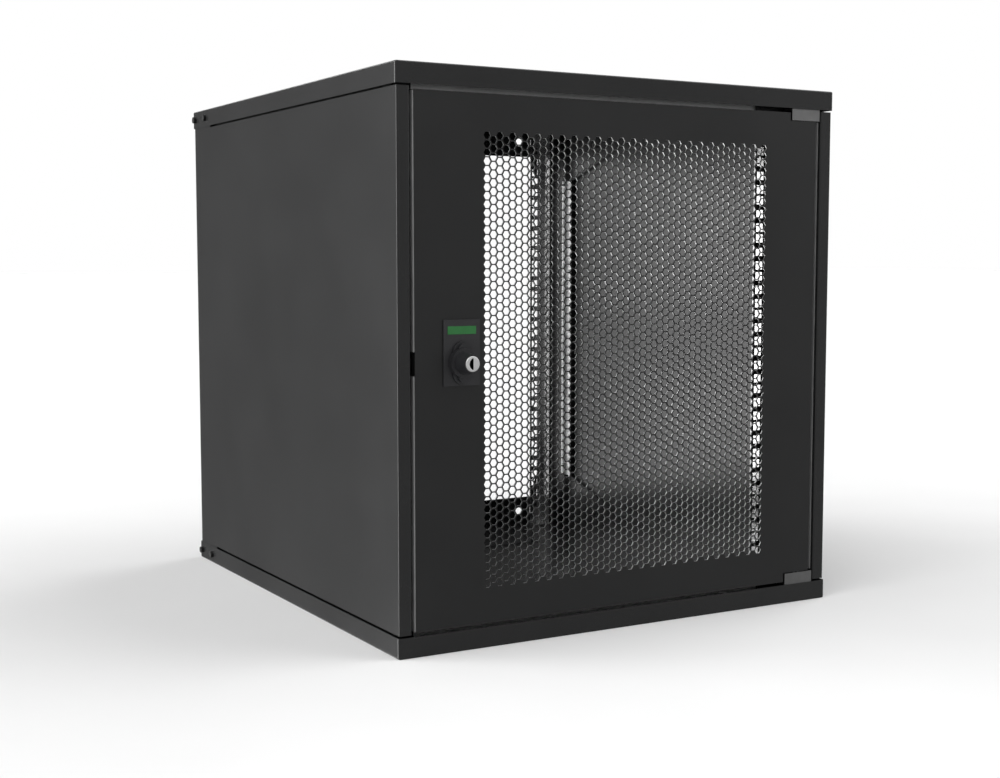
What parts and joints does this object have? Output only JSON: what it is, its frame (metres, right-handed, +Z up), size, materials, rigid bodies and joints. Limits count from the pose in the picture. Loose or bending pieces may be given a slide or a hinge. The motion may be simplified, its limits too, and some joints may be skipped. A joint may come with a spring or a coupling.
{
  "type": "network server rack cabinet",
  "caption": "Wall or desk standing network rack cabinet: folded steel body, hinged perforated front door with a key-locked knob, and square-hole rails.",
  "frame": {"origin": "middle of the underside, on the surface the cabinet stands on", "axes": "+Z up, the door faces -Y, +X to the right seen from the front"},
  "size_m": [0.56, 0.6227, 0.5854],
  "materials": {
    "powder_black": "fine-textured black powder coat",
    "door_black": "smooth black powder coat",
    "rail_zinc": "zinc-plated steel",
    "hinge_grey": "dull grey zinc-plated steel",
    "zinc_grey": "dull zinc-plated steel",
    "bright_zinc": "bright zinc-plated steel",
    "bolt_black": "black zinc-plated steel",
    "lock_black": "satin black moulded plastic",
    "knob_black": "black moulded plastic",
    "key_nickel": "satin nickel plate",
    "inlay_green": "plain green inlay",
    "seal_grey": "grey sealing strip",
    "buffer_rubber": "black rubber",
    "spring_steel": "spring steel wire"
  },
  "bodies": {
    "cabinet": {"base_tray": "powder_black", "roof_tray": "powder_black", "rear_frame": "powder_black", "side_frame_left": "powder_black", "side_frame_right": "powder_black", "side_panel_left": "powder_black", "side_panel_right": "powder_black", "rack_rail_front_left": "rail_zinc", "rack_rail_front_right": "rail_zinc", "rack_rail_rear_left": "rail_zinc", "rack_rail_rear_right": "rail_zinc", "front_beam_top": "zinc_grey", "front_beam_bottom": "zinc_grey", "hinge_bracket_top": "hinge_grey", "hinge_bracket_bottom": "hinge_grey", "corner_plate_top": "powder_black", "corner_plate_bottom": "powder_black", "hinge_side_seal": "seal_grey", "lacing_strip_left": "zinc_grey", "lacing_strip_right": "zinc_grey", "hinge_pin_lower": "bright_zinc", "hinge_washer": "bright_zinc", "hinge_screws": "bright_zinc", "base_cable_cover": "powder_black", "roof_cable_cover": "powder_black", "cable_cover_screws": "bolt_black", "ground_stud": "bright_zinc", "ground_nut": "bright_zinc", "rail_screws": "bright_zinc", "corner_bolts": "bolt_black", "side_panel_screws": "bolt_black", "door_buffers": "buffer_rubber"},
    "door": {"door_panel": "door_black", "door_stiffener_left": "door_black", "door_stiffener_right": "door_black", "door_edge_seal": "seal_grey", "hinge_pin_shelf": "zinc_grey", "hinge_spring": "spring_steel", "lock_plate": "lock_black", "lock_inlay": "inlay_green", "lock_barrel": "lock_black", "lock_nut": "bright_zinc"},
    "hinge_pin": {"hinge_pin_upper": "bright_zinc"},
    "knob": {"lock_knob": "knob_black", "lock_cam": "zinc_grey", "cam_washer": "bright_zinc", "cam_nut": "bright_zinc"},
    "key_cylinder": {"key_plug": "key_nickel"}
  },
  "joints": [
    {"name": "door_hinge", "type": "hinge", "parent": "cabinet", "child": "door", "pos_m": [0.24, -0.29, 0.2927], "axis": [0, 0, 1], "range_deg": [0, 120]},
    {"name": "hinge_pin_release", "type": "slide", "parent": "door", "child": "hinge_pin", "axis": [0, 0, -1], "range_m": [0, 0.0075], "stiffness_N_per_m": 800, "springref_m": -0.005, "deforming": ["hinge_spring"]},
    {"name": "knob_turn", "type": "hinge", "parent": "door", "child": "knob", "pos_m": [-0.2055, -0.3, 0.2927], "axis": [0, 1, 0], "range_deg": [0, 90]},
    {"name": "key_turn", "type": "hinge", "parent": "knob", "child": "key_cylinder", "pos_m": [-0.2055, -0.32, 0.2927], "axis": [0, 1, 0], "range_deg": [0, 90]}
  ]
}
